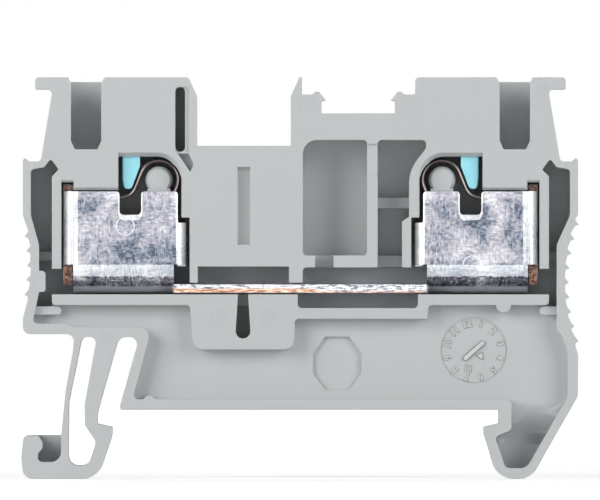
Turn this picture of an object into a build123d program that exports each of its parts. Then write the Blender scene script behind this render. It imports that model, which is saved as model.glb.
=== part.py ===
from build123d import *
import os
from math import cos, radians, sin, tan

os.makedirs("parts", exist_ok=True)

# Millimetres. X runs along the block, Y across it with the open side at -Y, Z is up from
# the seat on the rail. The origin is the middle of the rail, on the seat.
# A "reach" is a distance out from the middle of the two clamps, the same on both sides.
# A "level" is a height above the seat.

# Rail that the block clips on
rail_width = 35.0
lip_room = 1.2
hook_reach = 1.3
hook_fall = 0.3
hook_depth = 6.0

# Section of the moulding
block_width = 5.2
back_wall = 1.0
front_skin = 0.7
rim_wall = 0.94
low_rib = 1.4

# Places along the block
clamp_mid = 0.21
wing_beyond_wire = 2.0
pocket_gap = 0.16
cage_rib = 0.83
side_pocket = 1.84
flank_wall = 0.7
inner_wall = 0.64

# Levels
bar_level = 10.1
cage_headroom = 0.35
wing_headroom = 0.45
wing_notch_height = 0.66
loop_rise = 1.0
loop_room = 2.4
head_height = 6.55

# Folded strip
strip = 0.8
strip_gap = 0.1
cage_length = 10.72
cage_height = 8.9
plate_inset = 0.15
strip_back_gap = 0.15
wing_bend = 1.0
sole_bend = 2.5
sole_setback = 1.06
outer_wing_top = 0.6
outer_wing_foot = 1.8
inner_wing_foot = 0.2
inner_wing_height = 3.85
plate_narrowing = 0.71
notch_width = 1.9
notch_depth = 2.05
notch_round = 0.35
plate_round = 0.3
bar_front_inset = 0.4

# Leaf spring
leaf = 0.3
leaf_clearance = 0.11
loop_radius = 1.68
loop_inset = 2.36
loop_corner_gap = 0.42
flank_lean = 22.3
loop_exit = 200.0
clamp_leg_fall = 10.0
clamp_leg_bend = 1.3
clamp_leg_level = 8.52
leaf_front_gap = 0.15
leaf_back_gap = 0.225

# Boss inside the spring
boss_top_radius = 0.95
boss_base_radius = 1.25
boss_depth = 1.1
neck_half = 0.75
neck_length = 2.3

# Release button
button_travel = 1.7
button_gap = 0.1
head_width = 3.5
stem_width = 1.55
stem_from_loop = 1.65
ledge_above_chamber = 1.5
button_below_top = 0.35
tip_above_plate = 0.2
tip_round = 0.36
head_round = 0.18
tip_slope_height = 2.0
tip_slope_width = 0.75
tip_back_height = 1.0
tip_back_width = 0.125
driver_slot_width = 0.8
driver_slot_depth = 0.6

# Wire funnel and bore
funnel_radius = 2.47
funnel_front_shift = 0.5
funnel_lead = 0.45
funnel_lead_width = 0.15
shoulder_above_chamber = 0.27
shoulder_cone_height = 0.75
shoulder_cone_width = 0.17
wire_bore_radius = 1.15

# Top of the block
small_round = 0.1
lip_setback = 1.08
lip_thickness = 1.05
lip_round = 0.3
neck_setback = 2.6
neck_splay = 1.05
neck_round = 0.4
ledge_drop = 7.35
nib_rise = 0.3
nib_width = 0.5
nib_slope_width = 0.17
nib_slope_height = 0.2
gap_width = 8.19
gap_depth = 5.98
gap_chamfer_width = 0.75
gap_chamfer_height = 1.65
spike_width = 0.98
spike_slope = 0.75
barb_reach = 0.37
barb_rise = 1.15
hump_rise = 0.75
hump_near = 0.22
hump_far = 0.54
hump_foot = 0.82
hump_height = 0.25
hump_round = 0.2
post_width = 2.69
marker_width = 6.42
marker_depth = 3.15
right_step_run = 1.78
right_step_inset = 0.36

# Finger grips on the flanks
tooth_pitch = 1.275
tooth_depth = 0.35
tooth_rise = 0.45
tooth_undercut = 0.16
tooth_round = 0.25
grip_curve = 15.0
left_grip_hollow = 0.36
left_grip_level = 12.6
left_tooth_count = 5
right_grip_hollow = 0.81
right_grip_level = 11.1
right_tooth_count = 9
grip_wall = 1.06
grip_shoulder_level = 17.0
grip_shoulder_round = 1.275
flank_bend_drop = 2.55

# Underside and foot
underside_level = 6.62
heel_round = 0.9
heel_height = 1.35
leg_offset = 2.05
leg_width = 0.68
leg_flare = 0.1
leg_lean = 0.77
leg_foot_lean = 1.155
leg_knee_level = 1.65
leg_round = 2.7
foot_top = -2.2
foot_length = 6.7
toe_slope = 0.2
toe_round = 0.45
foot_edge_round = 0.15
foot_sole_round = 1.9
catch_side = 0.8
slot_head_wall = 0.24
slot_round = 0.6
outer_slot_width = 1.3
slot_waist = 1.385
slot_foot_width = 1.69
slot_knee_level = 0.55
slot_catch_wall = 0.17
slot_catch_level = -2.8
slot_catch_round = 0.45
slot_neck_level = -1.32
slot_sole = 1.13
inner_slot_width = 1.8
inner_slot_round = 0.85
middle_leg_run = 1.85
seat_start = 1.95
seat_bend_level = 0.47
driver_pocket_width = 1.62
driver_pocket_depth = 2.35
bead_width = 0.4
bead_level = -2.83
bead_foot_level = -3.4
bead_end_level = -3.8

# Fixed hook
hook_chin = 0.6
hook_chin_lean = 1.2
hook_sole_end = 2.86
hook_side_foot = 1.2
hook_side_head = 4.8

# Recess in the lower half
recess_depth = 1.4
cage_floor_wall = 0.95
corridor_wall = 0.63
toe_wall = 0.93
toe_spread = 0.57
toe_length = 1.16
toe_slope_length = 0.83
right_toe_spread = 0.4
bridge_block_drop = 4.83
bridge_block_round = 0.9
bridge_block_overlap = 0.38
middle_wall = 0.95
middle_overrun = 1.41
recess_lean = 1.67
recess_start = 4.74
hook_wall = 1.15
hook_neck_drop = 0.56
hook_tongue = 0.3
hook_floor_start = 0.63
hook_floor_end = 2.47
bottom_wall = 0.92
wedge_wall = 0.9
wedge_bend_level = 5.0
inner_round = 0.35
recess_round = 0.55

# Chambers between the cages
foot_height = 1.42
window_wall = 0.08
post_wall = 1.06
chamber_width = 5.61
chamber_top_wall = 2.33
chamber_sill = 0.98
chamber_rib = 0.93
chamber_rib_drop = 0.3
chamber_rib_step = 3.17
cross_rib = 0.95
cross_rib_gap = 1.6
cross_rib_start = 1.08
curved_rib = 0.9
lower_curved_rib = 0.81
curved_rib_round = 3.36
curved_rib_overrun = 0.58
under_bar_depth = 1.2
under_bar_inset = 0.62
under_bar_overrun = 0.58
chamber_round = 1.25
peak_rise = 0.24
peak_height = 0.95
peak_inset = 0.58
peak_shoulder = 0.66
peak_shoulder_drop = 0.74
finger_rib_width = 0.75
finger_rib_drop = 0.6
rim_nub_run = 4.5
rim_nub_radius = 0.55
rim_nub_seat = 0.23
cage_nub_inset = 0.98
cage_nub_radius = 0.65

# Marks and grooves on the open face
rib_slot_width = 0.85
rib_slot_inset = 1.89
rib_slot_foot = 0.05
rib_slot_head = 0.85
mark_depth = 0.25
seam_width = 1.08
seam_length = 6.75
seam_drop = 5.27
key_width = 1.35
key_neck = 0.88
key_depth = 3.85
key_mouth = 1.0
key_mouth_depth = 2.6
key_shift = 0.06
slot_margin = 0.32
tail_run = 0.44
tail_drop = 1.1
tail_width = 0.32
tail_start = 0.64
octagon_run = 4.07
octagon_level = 4.06
octagon_width = 4.24
octagon_height = 4.63
octagon_cut_width = 1.07
octagon_cut_height = 1.44
dial_inset = 2.13
dial_level = 5.17
dial_radius = 2.9
dial_line = 0.12
dial_depth = 0.08
octagon_depth = 0.35
pointer_rise = 0.16
pointer_length = 2.4
pointer_width = 0.42
pointer_angle = 42.0
bridge_pin_width = 2.0
bridge_shaft_width = 2.7
bridge_shaft_wall = 0.63
bridge_hole_width = 1.6
bridge_pocket_depth = 3.4

# Faces and levels that follow from the sizes above
LEFT = -1
RIGHT = 1
front_y = -block_width / 2
back_y = block_width / 2
floor_y = back_y - back_wall
pocket_depth = block_width - back_wall
skin_y = front_y + front_skin
front_plane = Plane.XZ.offset(block_width / 2)
floor_plane = Plane.XZ.offset(-floor_y)
recess_plane = front_plane.offset(-recess_depth)
back_plane = Plane.XZ.offset(-back_y)

rail_left = -rail_width / 2
rail_right = rail_width / 2

sole_z = bar_level + strip_gap
bar_top_z = sole_z + strip
plate_top_z = sole_z + cage_height
cage_ceiling_z = plate_top_z + cage_headroom
loop_z = plate_top_z + loop_rise
chamber_top_z = loop_z + loop_room
top_z = chamber_top_z + head_height
shoulder_z = chamber_top_z + shoulder_above_chamber
ledge_z = top_z - ledge_drop
shelf_z = top_z - gap_depth
marker_z = top_z - marker_depth
barb_z = marker_z + barb_rise
hump_z = barb_z + hump_rise
chamber_head_z = marker_z - chamber_top_wall
ceiling_z = bar_level - cage_floor_wall
finger_rib_z = ceiling_z - strip_gap - finger_rib_width / 2
window_top_z = bar_top_z + strip_gap + foot_height
chamber_foot_z = window_top_z + chamber_sill
bend_z = sole_z + sole_bend
outer_foot_z = bend_z - outer_wing_foot
inner_foot_z = bend_z - inner_wing_foot
inner_top_z = inner_foot_z + inner_wing_height
pocket_step_z = inner_top_z + wing_headroom
peak_z = ledge_z + peak_rise

# The clamps stand as far apart as the bridge gap, the post and the marker groove need
middle_length = gap_width + post_width + marker_width + right_step_run
pocket_in = (middle_length + inner_wall - right_step_inset) / 2
bridge_in = pocket_in - inner_wall
wing_in = pocket_in + 2 * pocket_gap
wing_out = wing_in + cage_length
wire_reach = wing_out - wing_beyond_wire
pocket_out = wing_out + pocket_gap
rib_out = pocket_out + cage_rib
side_out = rib_out + side_pocket
body_out = side_out + flank_wall
loop_reach = wing_in + loop_inset
stem_reach = loop_reach + stem_from_loop
chamber_in = wing_in + plate_narrowing - 2 * pocket_gap
chamber_out = stem_reach + notch_width
left_grip_reach = body_out - left_grip_hollow
right_grip_reach = body_out - right_grip_hollow
neck_reach = body_out - neck_setback

leg_foot_x = rail_left - leg_offset - leg_foot_lean
slot_head_z = underside_level - slot_head_wall

rib_slot_foot_z = chamber_top_z + rib_slot_foot
rib_slot_head_z = top_z - rib_slot_head

plate_y = front_y + plate_inset
plate_inner_y = plate_y + strip
strip_back_y = floor_y - strip_back_gap
wire_y = -funnel_front_shift


def across(side, reach):
    """X of a place a given reach out from the middle of the clamps."""
    return clamp_mid + side * reach


grip_reaches = {LEFT: left_grip_reach, RIGHT: right_grip_reach}
rib_slot_reach = bridge_in + rib_slot_inset
rib_slot_x = across(LEFT, rib_slot_reach - rib_slot_width / 2)
gap_left_x = across(LEFT, bridge_in)
gap_right_x = gap_left_x + gap_width
post_right_x = gap_right_x + post_width
marker_right_x = post_right_x + marker_width
right_step_x = marker_right_x + right_step_run
chamber_left_x = gap_right_x + post_wall
chamber_right_x = chamber_left_x + chamber_width
second_left_x = chamber_right_x + chamber_rib
block_left_x = gap_left_x - inner_wall
block_right_x = gap_right_x + bridge_block_overlap


def outline(corners, mode=Mode.ADD):
    """Closed face through (x, z, radius) corners, each radius held to what its edges leave."""
    points = [Vector(x, z) for x, z, radius in corners]
    radii = [radius for x, z, radius in corners]
    count = len(corners)
    starts, middles, ends = [], [], []
    for i, point in enumerate(points):
        back = points[i - 1] - point
        ahead = points[(i + 1) % count] - point
        half = radians(back.get_angle(ahead)) / 2
        back_share = 0.49 if radii[i - 1] > 0 else 0.98
        ahead_share = 0.49 if radii[(i + 1) % count] > 0 else 0.98
        room = min(back.length * back_share, ahead.length * ahead_share)
        run = min(radii[i] / tan(half), room)
        radius = run * tan(half)
        bisector = (back.normalized() + ahead.normalized()).normalized()
        starts.append(point + back.normalized() * run)
        middles.append(point + bisector * (radius / sin(half) - radius))
        ends.append(point + ahead.normalized() * run)
    with BuildLine() as edge:
        for i in range(count):
            if radii[i] > 0:
                ThreePointArc(starts[i], middles[i], ends[i])
            Line(ends[i], starts[(i + 1) % count])
    make_face(edge.edges(), mode=mode)


def rectangle(x_low, x_high, z_low, z_high, radius=0.0):
    """Corners of an upright rectangle."""
    return [(x_low, z_low, radius), (x_high, z_low, radius),
            (x_high, z_high, radius), (x_low, z_high, radius)]


def mirrored(side, corners):
    """Corners given by reach, set on one side of the block."""
    return [(across(side, reach), z, radius) for reach, z, radius in corners]


def upper_flank(side):
    """Top lip, waist and ledge at one end of the block, from the top down."""
    lip_reach = body_out - lip_setback
    return mirrored(side, [
        (lip_reach, top_z, lip_round),
        (lip_reach, top_z - lip_thickness, small_round),
        (neck_reach, top_z - lip_thickness, neck_round),
        (neck_reach + neck_splay, ledge_z, neck_round),
        (body_out - nib_width, ledge_z, neck_round),
        (body_out - nib_slope_width, ledge_z + nib_rise, 0.0),
        (body_out, ledge_z + nib_rise - nib_slope_height, 0.0),
        (body_out, grip_shoulder_level, grip_shoulder_round),
    ])


def finger_grip(side, reach, level, tooth_count):
    """Teeth on a hollow flank, from the top down, each with a flat upper slope."""
    corners = []
    for i in range(tooth_count):
        rise = ((tooth_count - 1) / 2 - i) * tooth_pitch
        tip = reach + rise**2 / (2 * grip_curve)
        root = tip - tooth_depth
        z = level + rise
        corners += [(root, z + tooth_rise, tooth_round), (tip, z, 0.0),
                    (root, z - tooth_undercut, tooth_round)]
    return mirrored(side, corners)


def foot():
    """Flexible foot that grips the left lip of the rail, from its root to the seat."""
    heel_x = across(LEFT, body_out)
    root_x = rail_left - leg_offset
    toe_x = rail_left - foot_length
    catch_x = rail_left + hook_reach
    slot_x = rail_left + middle_leg_run
    return [
        (heel_x, underside_level + heel_height, heel_round),
        (heel_x, underside_level, heel_round),
        (root_x, underside_level, heel_round),
        (root_x - leg_flare, underside_level - heel_height, leg_round),
        (root_x - leg_lean, leg_knee_level, leg_round),
        (leg_foot_x, foot_top, foot_edge_round),
        (toe_x + toe_slope, foot_top, toe_round),
        (toe_x, (foot_top - hook_depth) / 2, leg_round),
        (toe_x + toe_slope, -hook_depth, heel_round),
        (rail_left, -hook_depth, foot_sole_round),
        (catch_x, -lip_room - hook_fall - catch_side, leg_round),
        (catch_x, -lip_room - hook_fall, small_round),
        (rail_left, -lip_room, small_round),
        (rail_left, -hook_fall, foot_sole_round),
        (slot_x, slot_head_z, inner_slot_round),
        (slot_x + inner_slot_width, slot_head_z, inner_slot_round),
        (rail_left + seat_start, seat_bend_level, heel_round),
        (rail_left + seat_start, 0.0, lip_round),
    ]


def hook():
    """Fixed hook that takes the right lip of the rail, from the seat to the flank."""
    tip_x = rail_right - hook_reach
    side_x = across(RIGHT, body_out)
    return [
        (rail_right, 0.0, small_round),
        (rail_right, -lip_room, small_round),
        (tip_x, -lip_room - hook_fall, small_round),
        (tip_x, -lip_room - hook_fall - hook_chin, lip_round),
        (tip_x + hook_chin_lean, -hook_depth, foot_sole_round),
        (rail_right + hook_sole_end, -hook_depth, foot_sole_round),
        (side_x, hook_side_foot, heel_round),
        (side_x, hook_side_head, heel_round),
    ]


def top_edge():
    """Right head, marker groove, post, bridge gap and left head, from right to left."""
    return [
        (right_step_x, top_z, lip_round),
        (right_step_x, hump_z - hump_height, hump_round),
        (marker_right_x + hump_foot, hump_z - hump_height, hump_round),
        (marker_right_x + hump_far, hump_z, small_round),
        (marker_right_x + hump_near, hump_z, hump_round),
        (marker_right_x - barb_reach, barb_z, 0.0),
        (marker_right_x, barb_z - small_round, 0.0),
        (marker_right_x, marker_z, small_round),
        (post_right_x, marker_z, small_round),
        (post_right_x, barb_z - small_round, 0.0),
        (post_right_x + barb_reach, barb_z, 0.0),
        (post_right_x - hump_near, hump_z, hump_round),
        (post_right_x - hump_far, hump_z, small_round),
        (post_right_x - hump_foot, hump_z - hump_height, small_round),
        (gap_right_x + spike_width, hump_z - hump_height, small_round),
        (gap_right_x + spike_width, top_z, 0.0),
        (gap_right_x + spike_slope, top_z, 0.0),
        (gap_right_x, top_z - gap_chamfer_height, lip_round),
        (gap_right_x, shelf_z, small_round),
        (gap_left_x, shelf_z, small_round),
        (gap_left_x, top_z - gap_chamfer_height, lip_round),
        (gap_left_x - gap_chamfer_width, top_z, lip_round),
    ]


def body_profile():
    """Whole outer outline of the moulding, anticlockwise from the top left."""
    left_side = upper_flank(LEFT) + finger_grip(LEFT, left_grip_reach, left_grip_level,
                                                left_tooth_count)
    right_side = upper_flank(RIGHT) + finger_grip(RIGHT, right_grip_reach, right_grip_level,
                                                  right_tooth_count)
    return left_side + foot() + hook() + right_side[::-1] + top_edge()


def foot_slot():
    """Closed slot between the two legs of the foot, wide at the bottom."""
    outer_x = leg_foot_x + leg_width
    head_x = rail_left - leg_offset + leg_width
    sole_slot_z = slot_sole - hook_depth
    return [
        (head_x, slot_head_z, slot_round),
        (outer_x, slot_knee_level, leg_round),
        (outer_x, sole_slot_z, heel_round),
        (outer_x + slot_foot_width, sole_slot_z, heel_round),
        (rail_left - slot_catch_wall, slot_catch_level, slot_catch_round),
        (outer_x + slot_waist, slot_neck_level, slot_round),
        (outer_x + slot_waist, slot_knee_level, leg_round),
        (head_x + outer_slot_width, slot_head_z, slot_round),
    ]


def driver_pocket():
    """Pocket for a screwdriver in the top of the foot, with a bead on its outer side."""
    left_x = leg_foot_x - driver_pocket_width
    floor_z = foot_top - driver_pocket_depth
    return [
        (left_x - bead_width, foot_top + rim_wall, 0.0),
        (left_x - bead_width, foot_top, foot_edge_round),
        (left_x, bead_level, bead_width),
        (left_x, bead_foot_level, bead_width),
        (left_x - bead_width, bead_end_level, bead_width),
        (left_x - bead_width, floor_z, bead_width),
        (leg_foot_x, floor_z, heel_round),
        (leg_foot_x, foot_top + rim_wall, 0.0),
    ]


def clamp_pocket(side):
    """Cage pocket with the spring chamber above it."""
    notch_in = wing_out - strip - strip_gap
    notch_z = cage_ceiling_z + wing_notch_height
    return mirrored(side, [
        (chamber_out, chamber_top_z, 0.0),
        (chamber_out, cage_ceiling_z, small_round),
        (notch_in, cage_ceiling_z, 0.0),
        (notch_in, notch_z, small_round),
        (pocket_out, notch_z, small_round),
        (pocket_out, bar_level, 0.0),
        (pocket_in, bar_level, 0.0),
        (pocket_in, pocket_step_z, small_round),
        (chamber_in, pocket_step_z, small_round),
        (chamber_in, chamber_top_z, loop_radius + loop_corner_gap),
    ])


def side_pocket_profile(side, grip_reach):
    """Long pocket between the cage rib and the flank, with a peak at its top."""
    flank_in = grip_reach - grip_wall
    return mirrored(side, [
        (rib_out, loop_z + nib_rise, small_round),
        (rib_out - peak_inset, peak_z - peak_height, small_round),
        (rib_out + strip_gap, peak_z, hump_round),
        (rib_out + peak_shoulder, peak_z - peak_shoulder_drop, inner_round),
        (side_out, peak_z - peak_height, inner_round),
        (side_out, grip_shoulder_level, heel_round),
        (flank_in, grip_shoulder_level - flank_bend_drop, heel_round),
        (flank_in, window_top_z - strip_gap, 0.0),
        (rib_out, window_top_z - strip_gap, 0.0),
    ])


def pocket_feet():
    """Deep feet of the side pockets, down to the ribs under the ends of the cage floor."""
    left_in = left_grip_reach - grip_wall
    right_in = right_grip_reach - grip_wall
    tab_in = (rib_out + left_in) / 2
    tab_z = bar_level + 2 * strip_gap
    toe_z = underside_level + toe_wall
    spread = toe_spread * (tab_z - finger_rib_z) / (tab_z - toe_z)
    left_foot = mirrored(LEFT, [
        (rib_out, window_top_z, 0.0),
        (left_in, window_top_z, 0.0),
        (left_in, window_top_z - inner_round, 0.0),
        (tab_in, window_top_z - inner_round, inner_round),
        (tab_in, tab_z, inner_round),
        (left_in, tab_z, small_round),
        (left_in + spread, finger_rib_z, 0.0),
        (rib_out, finger_rib_z, 0.0),
    ])
    right_foot = mirrored(RIGHT, [
        (right_in, finger_rib_z, 0.0),
        (right_in, window_top_z, 0.0),
        (rib_out, window_top_z, 0.0),
        (rib_out, finger_rib_z, 0.0),
    ])
    return [left_foot, right_foot]


def lower_recess():
    """Shallow recess of the lower half, from the feet of the side pockets into the hook."""
    left_in = left_grip_reach - grip_wall
    right_in = right_grip_reach - grip_wall
    tab_in = (rib_out + left_in) / 2
    tab_z = bar_level + 2 * strip_gap
    hook_x = rail_right + hook_wall
    hook_floor_z = bottom_wall - hook_depth
    wedge_x = across(RIGHT, body_out) - wedge_wall
    mouth_z = window_top_z
    corridor_z = underside_level + corridor_wall
    toe_z = underside_level + toe_wall
    block_z = bar_level - bridge_block_drop
    middle_z = bar_level - under_bar_depth - middle_wall
    middle_end_x = across(RIGHT, pocket_in) + middle_overrun
    return [
        (across(LEFT, rib_out), mouth_z, 0.0),
        (across(LEFT, left_in), mouth_z, 0.0),
        (across(LEFT, left_in), mouth_z - inner_round, 0.0),
        (across(LEFT, tab_in), mouth_z - inner_round, inner_round),
        (across(LEFT, tab_in), tab_z, inner_round),
        (across(LEFT, left_in), tab_z, small_round),
        (across(LEFT, left_in + toe_spread), toe_z, inner_round),
        (across(LEFT, rib_out - toe_length), toe_z, heel_round),
        (across(LEFT, rib_out - toe_length - toe_slope_length), corridor_z, heel_round),
        (rail_left + recess_start, corridor_z, heel_round),
        (rail_left + recess_start - recess_lean, rim_wall, inner_round),
        (hook_x, rim_wall, recess_round),
        (hook_x, -lip_room - hook_neck_drop, recess_round),
        (rail_right - hook_tongue, -lip_room - hook_wall, inner_round),
        (rail_right + hook_floor_start, hook_floor_z, recess_round),
        (rail_right + hook_floor_end, hook_floor_z, heel_round),
        (wedge_x, hook_wall, heel_round),
        (wedge_x, wedge_bend_level, heel_round),
        (across(RIGHT, right_in + right_toe_spread), underside_level, inner_round),
        (across(RIGHT, right_in), underside_level + inner_round, inner_round),
        (across(RIGHT, right_in), mouth_z, 0.0),
        (across(RIGHT, rib_out), mouth_z, 0.0),
        (across(RIGHT, rib_out), ceiling_z, inner_round),
        (middle_end_x + small_round, ceiling_z, inner_round),
        (middle_end_x, middle_z, small_round),
        (block_right_x, middle_z, inner_round),
        (block_right_x - small_round, block_z, bridge_block_round),
        (block_left_x + inner_round, block_z, bridge_block_round),
        (block_left_x, ceiling_z, inner_round),
        (across(LEFT, rib_out), ceiling_z, inner_round),
    ]


def second_chamber():
    """Narrow chamber whose right edge follows the right spring chamber."""
    upper_x = across(RIGHT, chamber_in - curved_rib)
    lower_x = across(RIGHT, pocket_in - lower_curved_rib)
    head_x = across(RIGHT, chamber_in + curved_rib_overrun)
    return [
        (second_left_x, window_top_z - strip_gap, 0.0),
        (lower_x, window_top_z - strip_gap, 0.0),
        (lower_x, pocket_step_z - inner_round, small_round),
        (upper_x, pocket_step_z + small_round, small_round),
        (upper_x, loop_z + loop_radius / 2, curved_rib_round),
        (head_x, chamber_top_z + inner_round, inner_round),
        (head_x, chamber_head_z, inner_round),
        (second_left_x, chamber_head_z, inner_round),
    ]


def key_slot(foot_z, head_z):
    """Stretch of the slot under the bar, which widens evenly towards its foot."""
    mid_x = (block_left_x + block_right_x) / 2 + key_shift
    slot_foot_z = bar_level - key_depth
    flare = (key_width - key_neck) / (2 * key_depth)
    foot_half = key_neck / 2 + flare * (bar_level - foot_z)
    head_half = key_neck / 2 + flare * (bar_level - head_z)
    foot_round = key_width / 2 if foot_z == slot_foot_z else 0.0
    return [
        (mid_x - head_half, head_z, 0.0),
        (mid_x - foot_half, foot_z, foot_round),
        (mid_x + foot_half, foot_z, foot_round),
        (mid_x + head_half, head_z, 0.0),
    ]


def open_pockets():
    """Every pocket sunk to the floor from the open side."""
    mouth_z = window_top_z
    pockets = pocket_feet() + [second_chamber(), driver_pocket(),
                               key_slot(bar_level - key_depth, bar_level - key_mouth)]
    for side, grip_reach in grip_reaches.items():
        link = [(pocket_out - strip, bar_level, 0.0), (rib_out + strip_gap, bar_level, 0.0),
                (rib_out + strip_gap, mouth_z - strip_gap * 2, 0.0),
                (pocket_out - strip, mouth_z - strip_gap * 2, 0.0)]
        pockets += [clamp_pocket(side), side_pocket_profile(side, grip_reach),
                    mirrored(side, link)]
    channel = rectangle(across(LEFT, pocket_in + strip), across(RIGHT, pocket_in + strip),
                        bar_level, bar_top_z + strip_gap)
    left_window = rectangle(gap_left_x + window_wall, gap_right_x - 2 * window_wall,
                            bar_level, mouth_z)
    right_window = rectangle(chamber_left_x, across(RIGHT, pocket_in + strip),
                             bar_level, mouth_z - window_wall, inner_round)
    under_bar = rectangle(gap_right_x + under_bar_inset,
                          across(RIGHT, pocket_in) + under_bar_overrun,
                          bar_level - under_bar_depth, bar_top_z, inner_round)
    chamber = rectangle(chamber_left_x, chamber_right_x, chamber_foot_z, chamber_head_z,
                        inner_round)
    chamber[3] = (chamber_left_x, chamber_head_z, chamber_round)
    return pockets + [channel, left_window, right_window, under_bar, chamber]


def shallow_pockets():
    """Pockets that stop short of the floor, as (corners, depth)."""
    rib_link = rectangle(chamber_left_x + cross_rib_start,
                         chamber_left_x + cross_rib_start + cross_rib_gap,
                         window_top_z - strip, chamber_foot_z + strip)
    lowered_rib = rectangle(chamber_right_x - strip, second_left_x + strip,
                            chamber_head_z - chamber_rib_step, chamber_head_z - inner_round)
    seam_mid_x = gap_left_x + gap_width / 2
    seam_z = shelf_z - seam_drop
    seam = rectangle(seam_mid_x - seam_width / 2, seam_mid_x + seam_width / 2,
                     seam_z - seam_length / 2, seam_z + seam_length / 2)
    slot_right_x = across(LEFT, rib_slot_reach - rib_slot_width)
    margin_z = rib_slot_foot_z - slot_margin / 2
    margin = rectangle(slot_right_x - rib_slot_width, slot_right_x + slot_margin,
                       margin_z, rib_slot_head_z, slot_margin)
    tail_x = slot_right_x + slot_margin + tail_run
    tail_z = rib_slot_foot_z - tail_drop
    tail = [(slot_right_x + slot_margin, margin_z, 0.0),
            (tail_x, tail_z, small_round),
            (tail_x - tail_width, tail_z - 2 * tail_width, small_round),
            (slot_right_x - tail_start, margin_z, 0.0)]
    return [(lower_recess(), recess_depth),
            (rib_link, pocket_depth - low_rib), (lowered_rib, chamber_rib_drop),
            (key_slot(bar_level - key_mouth - strip_gap, bar_level + strip_gap), key_mouth_depth),
            (seam, mark_depth), (margin, mark_depth), (tail, mark_depth)]


def floor_ribs():
    """Low ribs across the side pockets and the second chamber."""
    ribs = []
    for side, grip_reach in grip_reaches.items():
        flank_in = grip_reach - grip_wall
        stay = [(rib_out - strip_gap, chamber_foot_z - cross_rib / 2, 0.0),
                (flank_in + strip, chamber_foot_z - cross_rib / 2, 0.0),
                (flank_in + strip, chamber_foot_z + inner_round, 0.0),
                (rib_out - strip_gap, chamber_foot_z + inner_round, 0.0)]
        ribs.append(mirrored(side, stay))
    second_right_x = across(RIGHT, pocket_in - lower_curved_rib)
    second_upper_x = across(RIGHT, chamber_in - curved_rib)
    cross_z = pocket_step_z + strip
    ribs.append(rectangle(second_left_x, second_right_x, window_top_z - strip_gap, chamber_foot_z))
    ribs.append(rectangle(second_left_x, second_upper_x, cross_z, cross_z + cross_rib))
    return ribs


def finger_rib(side, grip_reach):
    """Rib that reaches from the flank under the end of the cage floor."""
    foot_z = finger_rib_z - finger_rib_width / 2
    flank_in = grip_reach - grip_wall
    return mirrored(side, [
        (rib_out - cage_rib, foot_z, finger_rib_width / 2),
        (flank_in + toe_spread, foot_z, 0.0),
        (flank_in + toe_spread, foot_z + finger_rib_width, 0.0),
        (rib_out - cage_rib, foot_z + finger_rib_width, finger_rib_width / 2),
    ])


def octagon():
    """Eight-sided pad sunk in the recess floor."""
    mid_x = gap_right_x + octagon_run
    half_width = octagon_width / 2
    half_height = octagon_height / 2
    near_x = half_width - octagon_cut_width
    near_z = half_height - octagon_cut_height
    corners = [(-near_x, -half_height), (near_x, -half_height), (half_width, -near_z),
               (half_width, near_z), (near_x, half_height), (-near_x, half_height),
               (-half_width, near_z), (-half_width, -near_z)]
    return [(mid_x + x, octagon_level + z, 0.0) for x, z in corners]


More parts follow.
